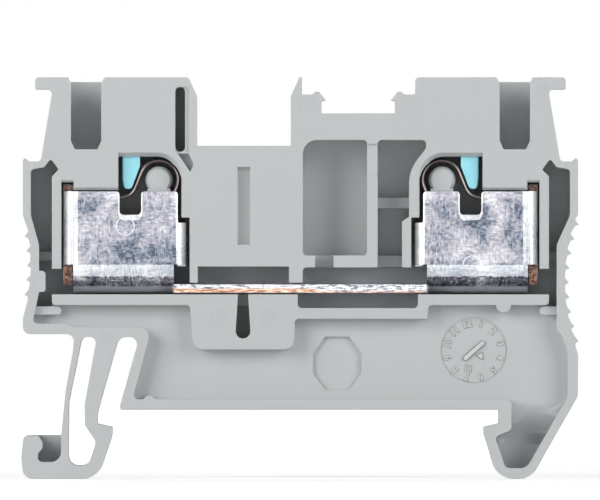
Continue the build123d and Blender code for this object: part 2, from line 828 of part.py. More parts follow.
# Housing: one moulding, open at the front, closed by its back wall
with BuildPart() as housing:
    with BuildSketch(back_plane):
        outline(body_profile())
        outline(foot_slot(), mode=Mode.SUBTRACT)
    extrude(amount=block_width)

    with BuildSketch(front_plane):
        for corners in open_pockets():
            outline(corners)
        with Locations((rib_slot_x, (rib_slot_foot_z + rib_slot_head_z) / 2)):
            SlotOverall(rib_slot_head_z - rib_slot_foot_z, rib_slot_width, rotation=90)
    extrude(amount=-pocket_depth, mode=Mode.SUBTRACT)
    for corners, depth in shallow_pockets():
        with BuildSketch(front_plane):
            outline(corners)
        extrude(amount=-depth, mode=Mode.SUBTRACT)

    with BuildSketch(floor_plane):
        for corners in floor_ribs():
            outline(corners)
    extrude(amount=low_rib)
    with BuildSketch(floor_plane):
        for side, grip_reach in grip_reaches.items():
            outline(finger_rib(side, grip_reach))
    extrude(amount=pocket_depth - finger_rib_drop)

    # Half-round nubs on the walls of the lower recess
    with BuildSketch(floor_plane):
        with Locations((rail_left + rim_nub_run, rim_wall - rim_nub_seat)):
            Circle(rim_nub_radius)
        with Locations((across(RIGHT, wire_reach) - cage_nub_inset, ceiling_z)):
            Circle(cage_nub_radius)
    extrude(amount=pocket_depth)

    # Wire funnel, shoulder and bore over each cage
    for side in (LEFT, RIGHT):
        wire_x = across(side, wire_reach)
        with BuildSketch(Plane((wire_x, wire_y, 0), x_dir=(1, 0, 0), z_dir=(0, -1, 0))):
            Polygon(
                (0, cage_ceiling_z - strip_gap),
                (wire_bore_radius, cage_ceiling_z - strip_gap),
                (wire_bore_radius, shoulder_z),
                (funnel_radius - shoulder_cone_width, shoulder_z),
                (funnel_radius, shoulder_z + shoulder_cone_height),
                (funnel_radius, top_z - funnel_lead),
                (funnel_radius + funnel_lead_width, top_z),
                (0, top_z),
                align=None,
            )
        revolve(axis=Axis((wire_x, wire_y, 0), (0, 0, 1)), mode=Mode.SUBTRACT)

    # Boss and neck inside each spring
    for side in (LEFT, RIGHT):
        boss_x = across(side, loop_reach)
        with BuildSketch(floor_plane):
            with Locations((boss_x, loop_z)):
                Circle(boss_base_radius)
        with BuildSketch(front_plane.offset(-boss_depth)):
            with Locations((boss_x, loop_z)):
                Circle(boss_top_radius)
        loft()
        with BuildSketch(floor_plane):
            outline(rectangle(boss_x - neck_half, boss_x + neck_half,
                              loop_z - neck_length, loop_z))
        extrude(amount=pocket_depth - boss_depth)

    # Button shaft: wide from the top to a ledge, narrow from there to the spring chamber
    for side in (LEFT, RIGHT):
        head_mid = chamber_out - button_gap - head_width / 2
        stem_mid = stem_reach + stem_width / 2
        shaft_mid_y = (skin_y + floor_y) / 2
        shaft_ledge_z = chamber_top_z + ledge_above_chamber
        with BuildSketch(Plane.XY.offset(shaft_ledge_z)):
            with Locations((across(side, head_mid), shaft_mid_y)):
                Rectangle(head_width + 2 * button_gap, floor_y - skin_y)
        extrude(amount=top_z - shaft_ledge_z, mode=Mode.SUBTRACT)
        with BuildSketch(Plane.XY.offset(chamber_top_z - strip_gap)):
            with Locations((across(side, stem_mid), shaft_mid_y)):
                Rectangle(stem_width + 2 * button_gap, floor_y - skin_y)
        extrude(amount=ledge_above_chamber + strip, mode=Mode.SUBTRACT)

    # Two bridge shafts from the shelf to the window, and blind pockets under the bar
    for side in (LEFT, RIGHT):
        if side == LEFT:
            shaft_x = gap_left_x + bridge_shaft_wall + bridge_shaft_width / 2
        else:
            shaft_x = gap_right_x - bridge_shaft_wall - bridge_shaft_width / 2
        with BuildSketch(Plane.XY.offset(window_top_z - strip_gap)):
            with Locations((shaft_x, (skin_y + floor_y) / 2)):
                Rectangle(bridge_shaft_width, floor_y - skin_y)
        extrude(amount=shelf_z - window_top_z + strip_gap, mode=Mode.SUBTRACT)
        with BuildSketch(Plane.XY.offset(bar_level - bridge_pocket_depth)):
            with Locations((shaft_x, (skin_y + floor_y) / 2)):
                Rectangle(bridge_pin_width, bridge_hole_width)
        extrude(amount=bridge_pocket_depth + strip_gap, mode=Mode.SUBTRACT)

    # Octagon, date ring and its pointer on the recess floor
    with BuildSketch(recess_plane):
        outline(octagon())
    extrude(amount=-octagon_depth, mode=Mode.SUBTRACT)
    with BuildSketch(recess_plane):
        with Locations((rail_right - dial_inset, dial_level)):
            Circle(dial_radius)
            Circle(dial_radius - dial_line, mode=Mode.SUBTRACT)
    extrude(amount=-dial_depth, mode=Mode.SUBTRACT)
    with BuildSketch(recess_plane):
        with Locations((rail_right - dial_inset, dial_level)):
            SlotOverall(pointer_length, pointer_width, rotation=pointer_angle)
    extrude(amount=pointer_rise)
housing.part.label = "housing"


# Current bar: one strip, folded up into a cage at each end
def cage_plan():
    """Plate and both wings seen from above, for the right-hand cage."""
    return [
        (across(RIGHT, wing_in), strip_back_y, 0.0),
        (across(RIGHT, wing_in), plate_y, wing_bend),
        (across(RIGHT, wing_out), plate_y, wing_bend),
        (across(RIGHT, wing_out), strip_back_y, 0.0),
        (across(RIGHT, wing_out - strip), strip_back_y, 0.0),
        (across(RIGHT, wing_out - strip), plate_inner_y, wing_bend - strip),
        (across(RIGHT, wing_in + strip), plate_inner_y, wing_bend - strip),
        (across(RIGHT, wing_in + strip), strip_back_y, 0.0),
    ]


def sole_section():
    """Plate rolled under into the sole, seen from the end."""
    return [
        (plate_y, bend_z, 0.0),
        (plate_y, sole_z, sole_bend),
        (strip_back_y, sole_z, 0.0),
        (strip_back_y, bar_top_z, 0.0),
        (plate_inner_y, bar_top_z, sole_bend - strip),
        (plate_inner_y, bend_z, 0.0),
    ]


with BuildPart() as right_cage:
    with BuildSketch(Plane.XY.offset(bend_z)):
        outline(cage_plan())
    extrude(amount=plate_top_z - bend_z)
    with BuildSketch(Plane.YZ.offset(across(RIGHT, wing_in + sole_setback))):
        outline(sole_section())
    extrude(amount=cage_length - 2 * sole_setback + strip_gap * 2)
    for reach, low_z, high_z in ((wing_out - strip, outer_foot_z, plate_top_z + outer_wing_top),
                                 (wing_in, inner_foot_z, inner_top_z)):
        with BuildSketch(Plane.XY.offset(low_z)):
            with Locations((across(RIGHT, reach + strip / 2), plate_y + wing_bend)):
                Rectangle(strip, strip_back_y - plate_y - wing_bend, align=(Align.CENTER, Align.MIN))
        extrude(amount=high_z - low_z)
    # Above the inner wing the plate ends in a plain edge
    plate_end_x = across(RIGHT, wing_in + plate_narrowing)
    with BuildSketch(front_plane):
        outline([(across(RIGHT, wing_in - strip), inner_top_z, 0.0),
                 (plate_end_x, inner_top_z, 0.0),
                 (plate_end_x, plate_top_z, plate_round),
                 (plate_end_x + 2 * plate_round, plate_top_z, 0.0),
                 (plate_end_x + 2 * plate_round, plate_top_z + strip, 0.0),
                 (across(RIGHT, wing_in - strip), plate_top_z + strip, 0.0)])
    extrude(amount=-block_width, mode=Mode.SUBTRACT)
    with BuildSketch(front_plane.offset(-plate_inset - wing_bend)):
        outline(rectangle(across(RIGHT, wing_in - strip), across(RIGHT, wing_in + wing_bend * 2),
                          inner_top_z, plate_top_z + strip))
    extrude(amount=-block_width, mode=Mode.SUBTRACT)
    # Notch that lets the button tip through
    notch_x = across(RIGHT, stem_reach - button_gap)
    with BuildSketch(front_plane):
        outline([(notch_x, plate_top_z - notch_depth, notch_round),
                 (notch_x + notch_width, plate_top_z - notch_depth, notch_round),
                 (notch_x + notch_width, plate_top_z, plate_round),
                 (notch_x + notch_width + 2 * plate_round, plate_top_z, 0.0),
                 (notch_x + notch_width + 2 * plate_round, plate_top_z + strip, 0.0),
                 (notch_x - 2 * plate_round, plate_top_z + strip, 0.0),
                 (notch_x - 2 * plate_round, plate_top_z, 0.0),
                 (notch_x, plate_top_z, plate_round)])
    extrude(amount=-plate_inset - strip - strip_gap / 2, mode=Mode.SUBTRACT)

with BuildPart() as current_bar:
    add(right_cage.part)
    mirror(about=Plane.YZ.offset(clamp_mid))
    bar_half = wing_in + sole_setback + strip_gap
    with BuildSketch(Plane.XY.offset(sole_z)):
        with Locations((clamp_mid, front_y + bar_front_inset)):
            Rectangle(2 * bar_half, strip_back_y - front_y - bar_front_inset,
                      align=(Align.CENTER, Align.MIN))
    extrude(amount=strip)
    with BuildSketch(Plane.XY.offset(sole_z)):
        for hole_x in (gap_left_x + bridge_shaft_wall + bridge_shaft_width / 2,
                       gap_right_x - bridge_shaft_wall - bridge_shaft_width / 2):
            with Locations((hole_x, (skin_y + floor_y) / 2)):
                Rectangle(bridge_pin_width, bridge_hole_width)
    extrude(amount=strip, mode=Mode.SUBTRACT)
current_bar.part.label = "current_bar"


# Springs: retaining leg, loop round the boss, flank and clamping leg
def spring_face(side):
    """Bent leaf seen from the open side."""
    lean = radians(flank_lean)
    exit_angle = radians(loop_exit)
    leg_reach = wing_in + strip + leaf_clearance + leaf / 2
    centre_x = across(side, loop_reach)
    leave = (centre_x + side * loop_radius * cos(exit_angle), loop_z + loop_radius * sin(exit_angle))
    meet = (centre_x + side * loop_radius * cos(lean), loop_z + loop_radius * sin(lean))
    leg_x = across(side, leg_reach)
    elbow_z = leave[1] - abs(leg_x - leave[0]) / tan(radians(loop_exit - 180))
    foot_z = sole_z + clamp_leg_level
    knee = (meet[0] + side * (meet[1] - foot_z) * tan(lean), foot_z)
    tip_x = across(side, wing_out - strip - 3 * leaf_clearance)
    tip = (tip_x, foot_z - abs(tip_x - knee[0]) * tan(radians(clamp_leg_fall)))
    top = (centre_x, loop_z + loop_radius)
    with BuildLine() as path:
        FilletPolyline((leg_x, bend_z), (leg_x, elbow_z), leave, radius=clamp_leg_bend)
        ThreePointArc(leave, top, meet)
        FilletPolyline(meet, knee, tip, radius=clamp_leg_bend)
    trace(path.edges(), line_width=leaf)


for side, name in ((LEFT, "left_spring"), (RIGHT, "right_spring")):
    with BuildPart() as spring:
        with BuildSketch(Plane.XZ.offset(-(floor_y - leaf_back_gap))):
            spring_face(side)
        extrude(amount=floor_y - plate_inner_y - leaf_back_gap - leaf_front_gap)
    spring.part.label = name
    export_step(spring.part, f"parts/{name}.step")


# Buttons: head in the wide shaft, stem through the ledge, sloped tip over the spring
def button_face(side):
    """Button seen from the open side."""
    head_in = chamber_out - button_gap - head_width
    head_out = chamber_out - button_gap
    stem_out = stem_reach + stem_width
    tip_z = plate_top_z + tip_above_plate
    step_z = chamber_top_z + ledge_above_chamber + button_travel + button_gap
    head_z = top_z - button_below_top
    return mirrored(side, [
        (head_in, head_z, head_round),
        (head_in, step_z, small_round),
        (stem_reach, step_z, 0.0),
        (stem_reach, tip_z + tip_slope_height, tip_round),
        (stem_reach + tip_slope_width, tip_z, tip_round),
        (stem_out - tip_back_width, tip_z, tip_round),
        (stem_out, tip_z + tip_back_height, tip_round),
        (stem_out, step_z, 0.0),
        (head_out, step_z, small_round),
        (head_out, head_z, head_round),
    ])


for side, name in ((LEFT, "left_button"), (RIGHT, "right_button")):
    with BuildPart() as button:
        with BuildSketch(Plane.XZ.offset(-(floor_y - button_gap))):
            outline(button_face(side))
        extrude(amount=floor_y - skin_y - 2 * button_gap)
        slot_x = across(side, chamber_out - button_gap - head_width / 2)
        with BuildSketch(Plane.XY.offset(top_z - button_below_top)):
            with Locations((slot_x, (skin_y + floor_y) / 2)):
                Rectangle(head_width, driver_slot_width)
        extrude(amount=-driver_slot_depth, mode=Mode.SUBTRACT)
    button.part.label = name
    export_step(button.part, f"parts/{name}.step")

export_step(housing.part, "parts/housing.step")
export_step(current_bar.part, "parts/current_bar.step")
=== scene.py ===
import math

import bmesh
import bpy
from mathutils import Matrix, Vector


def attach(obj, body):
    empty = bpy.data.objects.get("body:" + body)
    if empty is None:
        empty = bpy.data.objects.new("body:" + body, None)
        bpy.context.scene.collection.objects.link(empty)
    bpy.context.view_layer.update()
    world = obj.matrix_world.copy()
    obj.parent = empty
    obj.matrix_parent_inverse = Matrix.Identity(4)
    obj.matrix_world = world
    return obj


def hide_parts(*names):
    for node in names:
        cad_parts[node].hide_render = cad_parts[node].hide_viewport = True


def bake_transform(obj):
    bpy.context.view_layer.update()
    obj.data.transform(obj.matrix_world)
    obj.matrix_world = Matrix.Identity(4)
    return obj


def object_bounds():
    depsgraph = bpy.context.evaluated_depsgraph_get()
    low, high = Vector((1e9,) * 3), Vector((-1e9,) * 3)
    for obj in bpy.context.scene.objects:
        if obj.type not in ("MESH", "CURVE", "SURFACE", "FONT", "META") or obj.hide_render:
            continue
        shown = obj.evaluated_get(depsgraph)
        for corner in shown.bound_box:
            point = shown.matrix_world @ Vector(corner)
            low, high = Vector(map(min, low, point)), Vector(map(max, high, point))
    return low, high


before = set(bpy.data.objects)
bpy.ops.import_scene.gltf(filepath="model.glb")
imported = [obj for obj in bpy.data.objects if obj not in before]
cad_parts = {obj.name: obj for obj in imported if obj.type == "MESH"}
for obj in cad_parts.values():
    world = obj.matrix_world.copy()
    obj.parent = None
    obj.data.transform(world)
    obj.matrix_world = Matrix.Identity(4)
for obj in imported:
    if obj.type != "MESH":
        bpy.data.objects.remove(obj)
cad_low, cad_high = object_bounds()

MM = 0.001
SIDES = ((-1, "left"), (1, "right"))

# Photograph: 600 by 500 pixels, taken square on to the open side
PHOTO_SIZE = (600, 500)
PIXELS_PER_MM = 11.45
PHOTO_MIDDLE = (0.17 * MM, 13.97 * MM)
CAMERA_DISTANCE = 1.8
SENSOR_WIDTH = 36.0

# Soft lights, as (name, azimuth, height, width in metres, radiance), angles in degrees
LIGHT_DISTANCE = 0.5
LIGHTS = (("left_front", -50, 18, 0.30, 5.5), ("right_front", 50, 18, 0.30, 4.2),
          ("fill", 0, 6, 1.0, 0.06),
          ("left_back", -135, 30, 0.4, 1.3), ("right_back", 135, 30, 0.4, 1.3))
AMBIENT = 0.05
FLOOR_WIDTH = 3.0
FLOOR_GAP = 0.02 * MM
SHADOW_RADIUS = 0.06
GLOW_RADIUS = 0.3

# Places and sizes of the part that the scene's own pieces meet, in metres
CLAMP_MID = 0.21 * MM
FRONT_Y = -2.6 * MM
BACK_Y = 2.6 * MM
FLOOR_FACE_Y = 1.6 * MM
RECESS_Y = -1.2 * MM
PLATE_Y = -2.45 * MM
TOP_Z = 29.05 * MM
STANDING_Z = -6.0 * MM

# Leaf spring, as distances out from the middle of the clamps and heights
LEAF = 0.3 * MM
LEAF_EDGE = 0.1 * MM
LEAF_FRONT_Y = -1.5 * MM
LEAF_BACK_Y = 1.375 * MM
LEG_REACH = 11.06 * MM
LEG_FOOT_Z = 12.7 * MM
LEG_STRAIGHT_Z = 18.4 * MM
LEG_HEAD_Z = 18.9 * MM
LEG_HEAD_REACH = LEG_REACH - 0.02 * MM
LOOP_REACH = 12.36 * MM
LOOP_Z = 20.1 * MM
LOOP_RADIUS = 1.68 * MM
LOOP_START = math.radians(200)
LOOP_END = math.radians(22.3)
LOOP_STEPS = 40
KNEE_Z = 18.72 * MM
BEND_RADIUS = 1.3 * MM
CLAMP_LEG_FALL = math.radians(10)
CLAMP_LEG_REACH = 19.59 * MM
FLANK_STEPS = 6
BEND_STEPS = 8

# Boss inside each spring, with the post that carries it
BOSS_TOP_Y = -1.51 * MM
BOSS_RADIUS = 1.2 * MM
BOSS_ROUND = 0.55 * MM
BOSS_STEPS = 48
BOSS_ROUND_STEPS = 8
POST_HALF = 1.02 * MM
POST_FOOT_Z = 18.4 * MM
POST_HEAD_Z = 19.34 * MM
POST_ROUND = 0.09 * MM

# Chamfered rims over each spring chamber, each cage and the notch for its outer wing
CHAMBER_IN_REACH = 10.39 * MM
CHAMBER_OUT_REACH = 15.91 * MM
CHAMBER_TOP_Z = 22.5 * MM
CHAMBER_ROUND = 2.1 * MM
CAGE_CEILING_Z = 19.45 * MM
CAGE_NOTCH_REACH = 19.82 * MM
WING_NOTCH_REACH = 20.88 * MM
WING_NOTCH_TOP_Z = 20.1 * MM
CHAMBER_BROW = 0.36 * MM
CHAMBER_BROW_END = 0.05 * MM
CAGE_BROW = 0.24 * MM
WING_BROW = 0.22 * MM
BROW_SLOPE = 1.6
BROW_BACK_Y = -1.95 * MM
BROW_FRONT_Y = FRONT_Y + 0.01 * MM
BROW_LAP = 0.04 * MM
BROW_LAND = 0.02 * MM

# Wire funnels: the wall behind them is a little lower than the top
WIRE_REACH = 18.72 * MM
FUNNEL_NOTCH_HALF = 1.55 * MM
FUNNEL_NOTCH_Z = 28.68 * MM
FUNNEL_NOTCH_Y = -1.9 * MM

# The recess floor falls away into the rail hook, deeper than the CAD has it
HOOK_LEFT_X = 12.0 * MM
HOOK_SLOPE_TOP_Z = 0.6 * MM
HOOK_SLOPE_FOOT_Z = -3.0 * MM
HOOK_SLOPE_STEPS = 12
HOOK_FALL = 1.9 * MM

# Narrow slot in the middle and the tail of the left slot, deeper than the CAD has them
SEAM_LOW = (-5.265 * MM, 14.455 * MM)
SEAM_HIGH = (-4.185 * MM, 21.205 * MM)
SEAM_FLOOR_Y = -2.0 * MM
TAIL_CORNERS = ((-9.55, 22.39), (-9.11, 21.45), (-9.43, 20.81), (-10.51, 22.39))
TAIL_FLOOR_Y = -1.7 * MM

# Rounding of the CAD nodes' edges, which the shallow tail of the left slot goes without
WELD_DISTANCE = 0.002 * MM
SHARP_ANGLE = math.radians(35)
RIM_TILT = 0.3
FLAT_NORMAL = 0.999
EDGE_ROUND = 0.05 * MM
BUTTON_ROUND = 0.12 * MM
TAIL_LOW = (-11.7 * MM, 20.5 * MM)
TAIL_HIGH = (-8.2 * MM, 22.62 * MM)

# Cages, as distances out from the middle of the clamps and heights
WING_OUT_REACH = 20.72 * MM
WING_IN_REACH = 10.0 * MM
OUTER_BAND = 1.28 * MM
INNER_BAND = 0.84 * MM
INNER_WING_TOP_Z = 16.55 * MM
SOLE_REACH = 11.02 * MM
PLATE_FOOT_Z = 12.55 * MM
PLATE_HEAD_Z = (17.6 * MM, 18.9 * MM)
ROLL_TOP_Z = 12.78 * MM
ROLL_FOOT_Z = 11.81 * MM
PLAIN_TOP_Z = 10.8 * MM
NOTCH_MID_REACH = 14.86 * MM
NOTCH_HALF = 0.6 * MM
NOTCH_ROUND_Z = 17.4 * MM
NOTCH_HALO = 0.82 * MM
NOTCH_SQUEEZE = 1.75

# Tin smeared over the bar's cut edge ends at one height left of SMEAR_X and lower right of it
SMEAR_X = (1.0 * MM, 2.4 * MM)
SMEAR_Z = (10.62 * MM, 10.36 * MM)

# Ring marks on the plates, as (x, z, radius, degrees of arc), and their section, in mm
PLATE_RINGS = ((-15.1, 16.05, 0.78, 360), (15.2, 12.65, 0.8, 180))
RING_SECTION = ((-0.05, -0.01), (-0.03, 0.02), (0.03, 0.02), (0.05, -0.01))
RING_STEPS = 48

# Date mark in the lower recess
DIAL_MIDDLE = (15.37 * MM, 5.17 * MM)
NUMBER_RING = 2.36 * MM
NUMBER_HEIGHT = 0.88 * MM
NUMBER_RISE = 0.015 * MM
NUMBER_EDGE = 0.05 * MM
YEAR_HEIGHT = 0.75 * MM
YEAR_MIDDLE = (14.9 * MM, 3.65 * MM)
YEAR_TURN = 190
ARROW_CORNERS = ((15.5, 4.75), (16.15, 5.05), (16.2, 4.35))
ARROW_RISE = 0.1 * MM
POINTER_RISE = 0.2 * MM
POINTER_TURN = math.radians(42)
POINTER_HALF = 0.99 * MM
POINTER_ROUND = 0.22 * MM
POINTER_STEPS = 12
MARK_SINK = 0.1 * MM
MARK_BEVEL = 0.05 * MM

# Round traces of the mould's ejector pins on the front, as (x, z, radius) in mm
EJECTOR_MARKS = ((0.7, 26.7, 0.7), (21.3, 28.0, 0.5), (-7.0, 8.0, 0.65), (-2.6, 8.0, 0.65),
                 (-16.65, 6.3, 0.5), (19.1, -5.5, 0.55))
EJECTOR_STRENGTH = 0.14

# Colours, linear
HOUSING_GREY = (0.535, 0.56, 0.566, 1)
HOUSING_GREY_WARM = (0.55, 0.57, 0.57, 1)
HOUSING_GRAIN = (0.44, 0.46, 0.465, 1)
EJECTOR_GREY = (0.34, 0.35, 0.35, 1)
BUTTON_BLUE = (0.34, 0.80, 0.92, 1)
BUTTON_BLUE_PALE = (0.38, 0.84, 0.95, 1)
# Painted shade on the flanks of the raised marks and painted light on their tops
SHADED_FLANK_GREYS = ((0.12, 0.13, 0.13, 1), (0.20, 0.21, 0.21, 1))
LIT_TOP_GREYS = ((0.60, 0.62, 0.62, 1), (0.68, 0.70, 0.70, 1))
SCRATCH_WHITES = ((0.82, 0.82, 0.86, 1), (0.97, 0.97, 0.98, 1))
FLOOR_WHITES = ((0.86, 0.86, 0.86, 1), (0.88, 0.88, 0.88, 1))
PLAIN_TIN = (0.72, 0.72, 0.76, 1)

# Tones of the metals over their grain, as (position, linear colour)
# Mottled tin of the flat plates: stains, and darkened overall as a painted dark reflection
STAINS_AND_DARK_REFLECTION_TIN = [(0.40, (0.09, 0.11, 0.15, 1)), (0.46, (0.21, 0.245, 0.31, 1)),
               (0.50, (0.36, 0.37, 0.43, 1)), (0.555, (0.50, 0.49, 0.545, 1)),
               (0.64, (0.76, 0.75, 0.79, 1))]
# Bright tin for the painted highlights on the wing bends and the halo round the notch
HIGHLIGHT_TIN = [(0.42, (0.62, 0.65, 0.71, 1)), (0.50, (0.88, 0.89, 0.91, 1)),
                (0.56, (0.97, 0.97, 0.98, 1))]
# Painted bright reflection on the upper part of each roll
ROLL_REFLECTION_TIN = [(0.41, (0.46, 0.50, 0.56, 1)), (0.50, (0.70, 0.73, 0.78, 1)),
              (0.58, (0.92, 0.93, 0.95, 1))]
# Speckled band below it on the roll: partly wear, partly a painted dark reflection
SPECKLED_WEAR_AND_DARK_REFLECTION_TIN = [(0.42, (0.05, 0.05, 0.065, 1)), (0.49, (0.17, 0.17, 0.21, 1)),
                (0.54, (0.36, 0.36, 0.41, 1)), (0.60, (0.75, 0.75, 0.78, 1))]
SMEARED_TIN = [(0.41, (0.20, 0.21, 0.25, 1)), (0.47, (0.58, 0.58, 0.64, 1)),
               (0.53, (0.93, 0.93, 0.96, 1))]
BAR_COPPER = [(0.40, (0.36, 0.17, 0.11, 1)), (0.52, (0.74, 0.44, 0.32, 1)),
              (0.62, (1.0, 0.78, 0.66, 1))]
END_COPPER = [(0.40, (0.06, 0.035, 0.03, 1)), (0.6, (0.32, 0.18, 0.13, 1))]
SPRING_FACE = [(0.3, (0.05, 0.04, 0.038, 1)), (0.7, (0.11, 0.09, 0.085, 1))]
SPRING_EDGE = [(0.3, (0.075, 0.06, 0.057, 1)), (0.7, (0.15, 0.125, 0.12, 1))]
# Painted highlight on the spring's cut edge between the heights below
SPRING_EDGE_HIGHLIGHT = [(0.3, (0.32, 0.28, 0.27, 1)), (0.7, (0.60, 0.54, 0.52, 1))]
SPRING_HIGHLIGHT_Z = (18.85 * MM, 21.2 * MM)


def across(side, reach):
    """The x at a distance out from the middle of the clamps, side -1 being left."""
    return CLAMP_MID + side * reach


def node(tree, kind, inputs=None, **settings):
    """Adds a shader node, sets its properties and links or sets its inputs."""
    made = tree.nodes.new(kind)
    for name, value in settings.items():
        setattr(made, name, value)
    for key, value in (inputs or {}).items():
        if isinstance(value, bpy.types.NodeSocket):
            tree.links.new(value, made.inputs[key])
        else:
            made.inputs[key].default_value = value
    return made


def new_material(name, metallic, roughness):
    """A material with an empty Principled shader, and its node tree."""
    material = bpy.data.materials.new(name)
    material.use_nodes = True
    tree = material.node_tree
    shader = tree.nodes["Principled BSDF"]
    shader.inputs["Metallic"].default_value = metallic
    shader.inputs["Roughness"].default_value = roughness
    return material, tree, shader


def noise(tree, place, scale, detail=3.0, stretch=(1, 1, 1), distortion=0.0):
    """Noise over object coordinates, stretched along the axes."""
    spread = node(tree, "ShaderNodeMapping", {"Vector": place, "Scale": stretch})
    made = node(tree, "ShaderNodeTexNoise",
                {"Vector": spread.outputs["Vector"], "Scale": scale, "Detail": detail,
                 "Distortion": distortion})
    return made.outputs["Fac"]


def ramp(tree, value, stops):
    """Colour ramp through (position, colour) stops."""
    made = node(tree, "ShaderNodeValToRGB", {"Fac": value})
    elements = made.color_ramp.elements
    while len(elements) < len(stops):
        elements.new(0.5)
    for element, (position, colour) in zip(elements, stops):
        element.position = position
        element.color = colour
    return made.outputs["Color"]


def between(tree, value, low, high, to_low=0.0, to_high=1.0):
    """Value mapped smoothly from low..high to a new range."""
    made = node(tree, "ShaderNodeMapRange",
                {"Value": value, "From Min": low, "From Max": high,
                 "To Min": to_low, "To Max": to_high},
                interpolation_type="SMOOTHSTEP")
    return made.outputs["Result"]


def above(tree, value, edge, blur):
    """1 above an edge and 0 below it, blended over blur on each side."""
    return between(tree, value, edge - blur, edge + blur)


def below(tree, value, edge, blur):
    """1 below an edge and 0 above it, blended over blur on each side."""
    return between(tree, value, edge - blur, edge + blur, 1.0, 0.0)


def maths(tree, operation, one, other=0.0):
    made = node(tree, "ShaderNodeMath", {0: one, 1: other}, operation=operation)
    return made.outputs[0]


def both(tree, one, other):
    """Product, which is 1 where both shares are 1."""
    return maths(tree, "MULTIPLY", one, other)


def less(tree, one, other):
    return maths(tree, "SUBTRACT", one, other)


def added(tree, first, *others):
    for other in others:
        first = maths(tree, "ADD", first, other)
    return first


def greatest(tree, first, *others):
    for other in others:
        first = maths(tree, "MAXIMUM", first, other)
    return first


def mixed(tree, share, one, other):
    """Colour one where share is 0 and other where it is 1."""
    made = node(tree, "ShaderNodeMix", {"Factor": share}, data_type="RGBA")
    for key, colour in ((6, one), (7, other)):
        if isinstance(colour, bpy.types.NodeSocket):
            tree.links.new(colour, made.inputs[key])
        else:
            made.inputs[key].default_value = colour
    return made.outputs[2]


def bumped(tree, shader, height, distance, strength=1.0):
    """Surface relief from a height value."""
    relief = node(tree, "ShaderNodeBump",
                  {"Height": height, "Distance": distance, "Strength": strength})
    tree.links.new(relief.outputs["Normal"], shader.inputs["Normal"])


def object_place(tree):
    return node(tree, "ShaderNodeTexCoord").outputs["Object"]


def axes_of(tree, vector):
    split = node(tree, "ShaderNodeSeparateXYZ", {"Vector": vector})
    return split.outputs["X"], split.outputs["Y"], split.outputs["Z"]


def normal_y(tree):
    """The y of the face's own normal: -1 where it looks out of the open side."""
    return axes_of(tree, node(tree, "ShaderNodeNewGeometry").outputs["True Normal"])[1]


def distance(tree, x, z, middle=(0.0, 0.0)):
    """Distance from a middle in the XZ plane."""
    aside = less(tree, x, middle[0])
    up = less(tree, z, middle[1])
    return maths(tree, "SQRT", added(tree, both(tree, aside, aside), both(tree, up, up)))


def ejector_traces(tree, place):
    """Share of the faint round traces on the front."""
    x, y, z = axes_of(tree, place)
    traces = []
    for mark_x, mark_z, radius in EJECTOR_MARKS:
        away = distance(tree, x, z, (mark_x * MM, mark_z * MM))
        rim = maths(tree, "ABSOLUTE", less(tree, away, radius * MM))
        inside = between(tree, away, (radius - 0.05) * MM, radius * MM, 0.35, 0.0)
        traces.append(greatest(tree, below(tree, rim, 0.075 * MM, 0.045 * MM), inside))
    on_front = below(tree, y, FRONT_Y + 0.15 * MM, 0.05 * MM)
    return both(tree, added(tree, *traces), on_front)


def housing_material():
    """Fine matt grey moulding, hardly uneven in tone, with faint ejector marks."""
    material, tree, shader = new_material("housing_plastic", 0.0, 0.52)
    place = object_place(tree)
    cloud = noise(tree, place, 160, 2.0)
    grain = noise(tree, place, 2600, 3.0)
    tone = mixed(tree, cloud, HOUSING_GREY, HOUSING_GREY_WARM)
    tone = mixed(tree, both(tree, grain, 0.16), tone, HOUSING_GRAIN)
    marks = both(tree, ejector_traces(tree, place), EJECTOR_STRENGTH)
    tree.links.new(mixed(tree, marks, tone, EJECTOR_GREY), shader.inputs["Base Color"])
    bumped(tree, shader, noise(tree, place, 9000, 2.0), 0.004 * MM, 0.6)
    return material


def mark_material():
    """The housing's plastic on small raised marks: painted shade on the flanks, painted light on
    the tops.
    """
    material, tree, shader = new_material("raised_marks", 0.0, 0.5)
    grain = noise(tree, object_place(tree), 2600, 3.0)
    # Faces looking out of the open side get the painted light, the flanks the painted shade
    top = below(tree, normal_y(tree), -0.96, 0.03)
    tone = mixed(tree, top, mixed(tree, grain, *SHADED_FLANK_GREYS), mixed(tree, grain, *LIT_TOP_GREYS))
    tree.links.new(tone, shader.inputs["Base Color"])
    bumped(tree, shader, grain, 0.003 * MM, 0.4)
    return material


def tin_grain(tree, place):
    """Patches, lying scratches, specks, and scratches that lie in places and stand in others."""
    patches = noise(tree, place, 330, 2.0, (1, 1, 1.2), 0.6)
    lying = noise(tree, place, 1500, 4.0, (1.0, 1, 6.0), 0.2)
    standing = noise(tree, place, 1500, 4.0, (6.0, 1, 1.0), 0.2)
    specks = noise(tree, place, 3800, 3.0)
    choice = between(tree, noise(tree, place, 520, 1.0), 0.40, 0.53)
    lines = added(tree, both(tree, choice, lying), both(tree, less(tree, 1.0, choice), standing))
    return patches, lying, specks, lines


def polished_share(tree, reach, z):
    """Where the tin is painted bright: a painted highlight on the bends of the wings, and a
    bright halo round the notch.
    """
    plate = above(tree, z, PLATE_FOOT_Z, 0.05 * MM)
    outer = both(tree, above(tree, reach, WING_OUT_REACH - OUTER_BAND, 0.04 * MM), plate)
    inner = both(tree, below(tree, reach, WING_IN_REACH + INNER_BAND, 0.04 * MM), plate)
    inner = both(tree, inner, below(tree, z, INNER_WING_TOP_Z, 0.05 * MM))
    from_mid = maths(tree, "ABSOLUTE", less(tree, reach, NOTCH_MID_REACH))
    beside = greatest(tree, less(tree, from_mid, NOTCH_HALF), 0.0)
    under = greatest(tree, less(tree, NOTCH_ROUND_Z, z), 0.0)
    away = distance(tree, both(tree, beside, NOTCH_SQUEEZE), under)
    return greatest(tree, outer, inner, below(tree, away, NOTCH_HALO, 0.04 * MM))


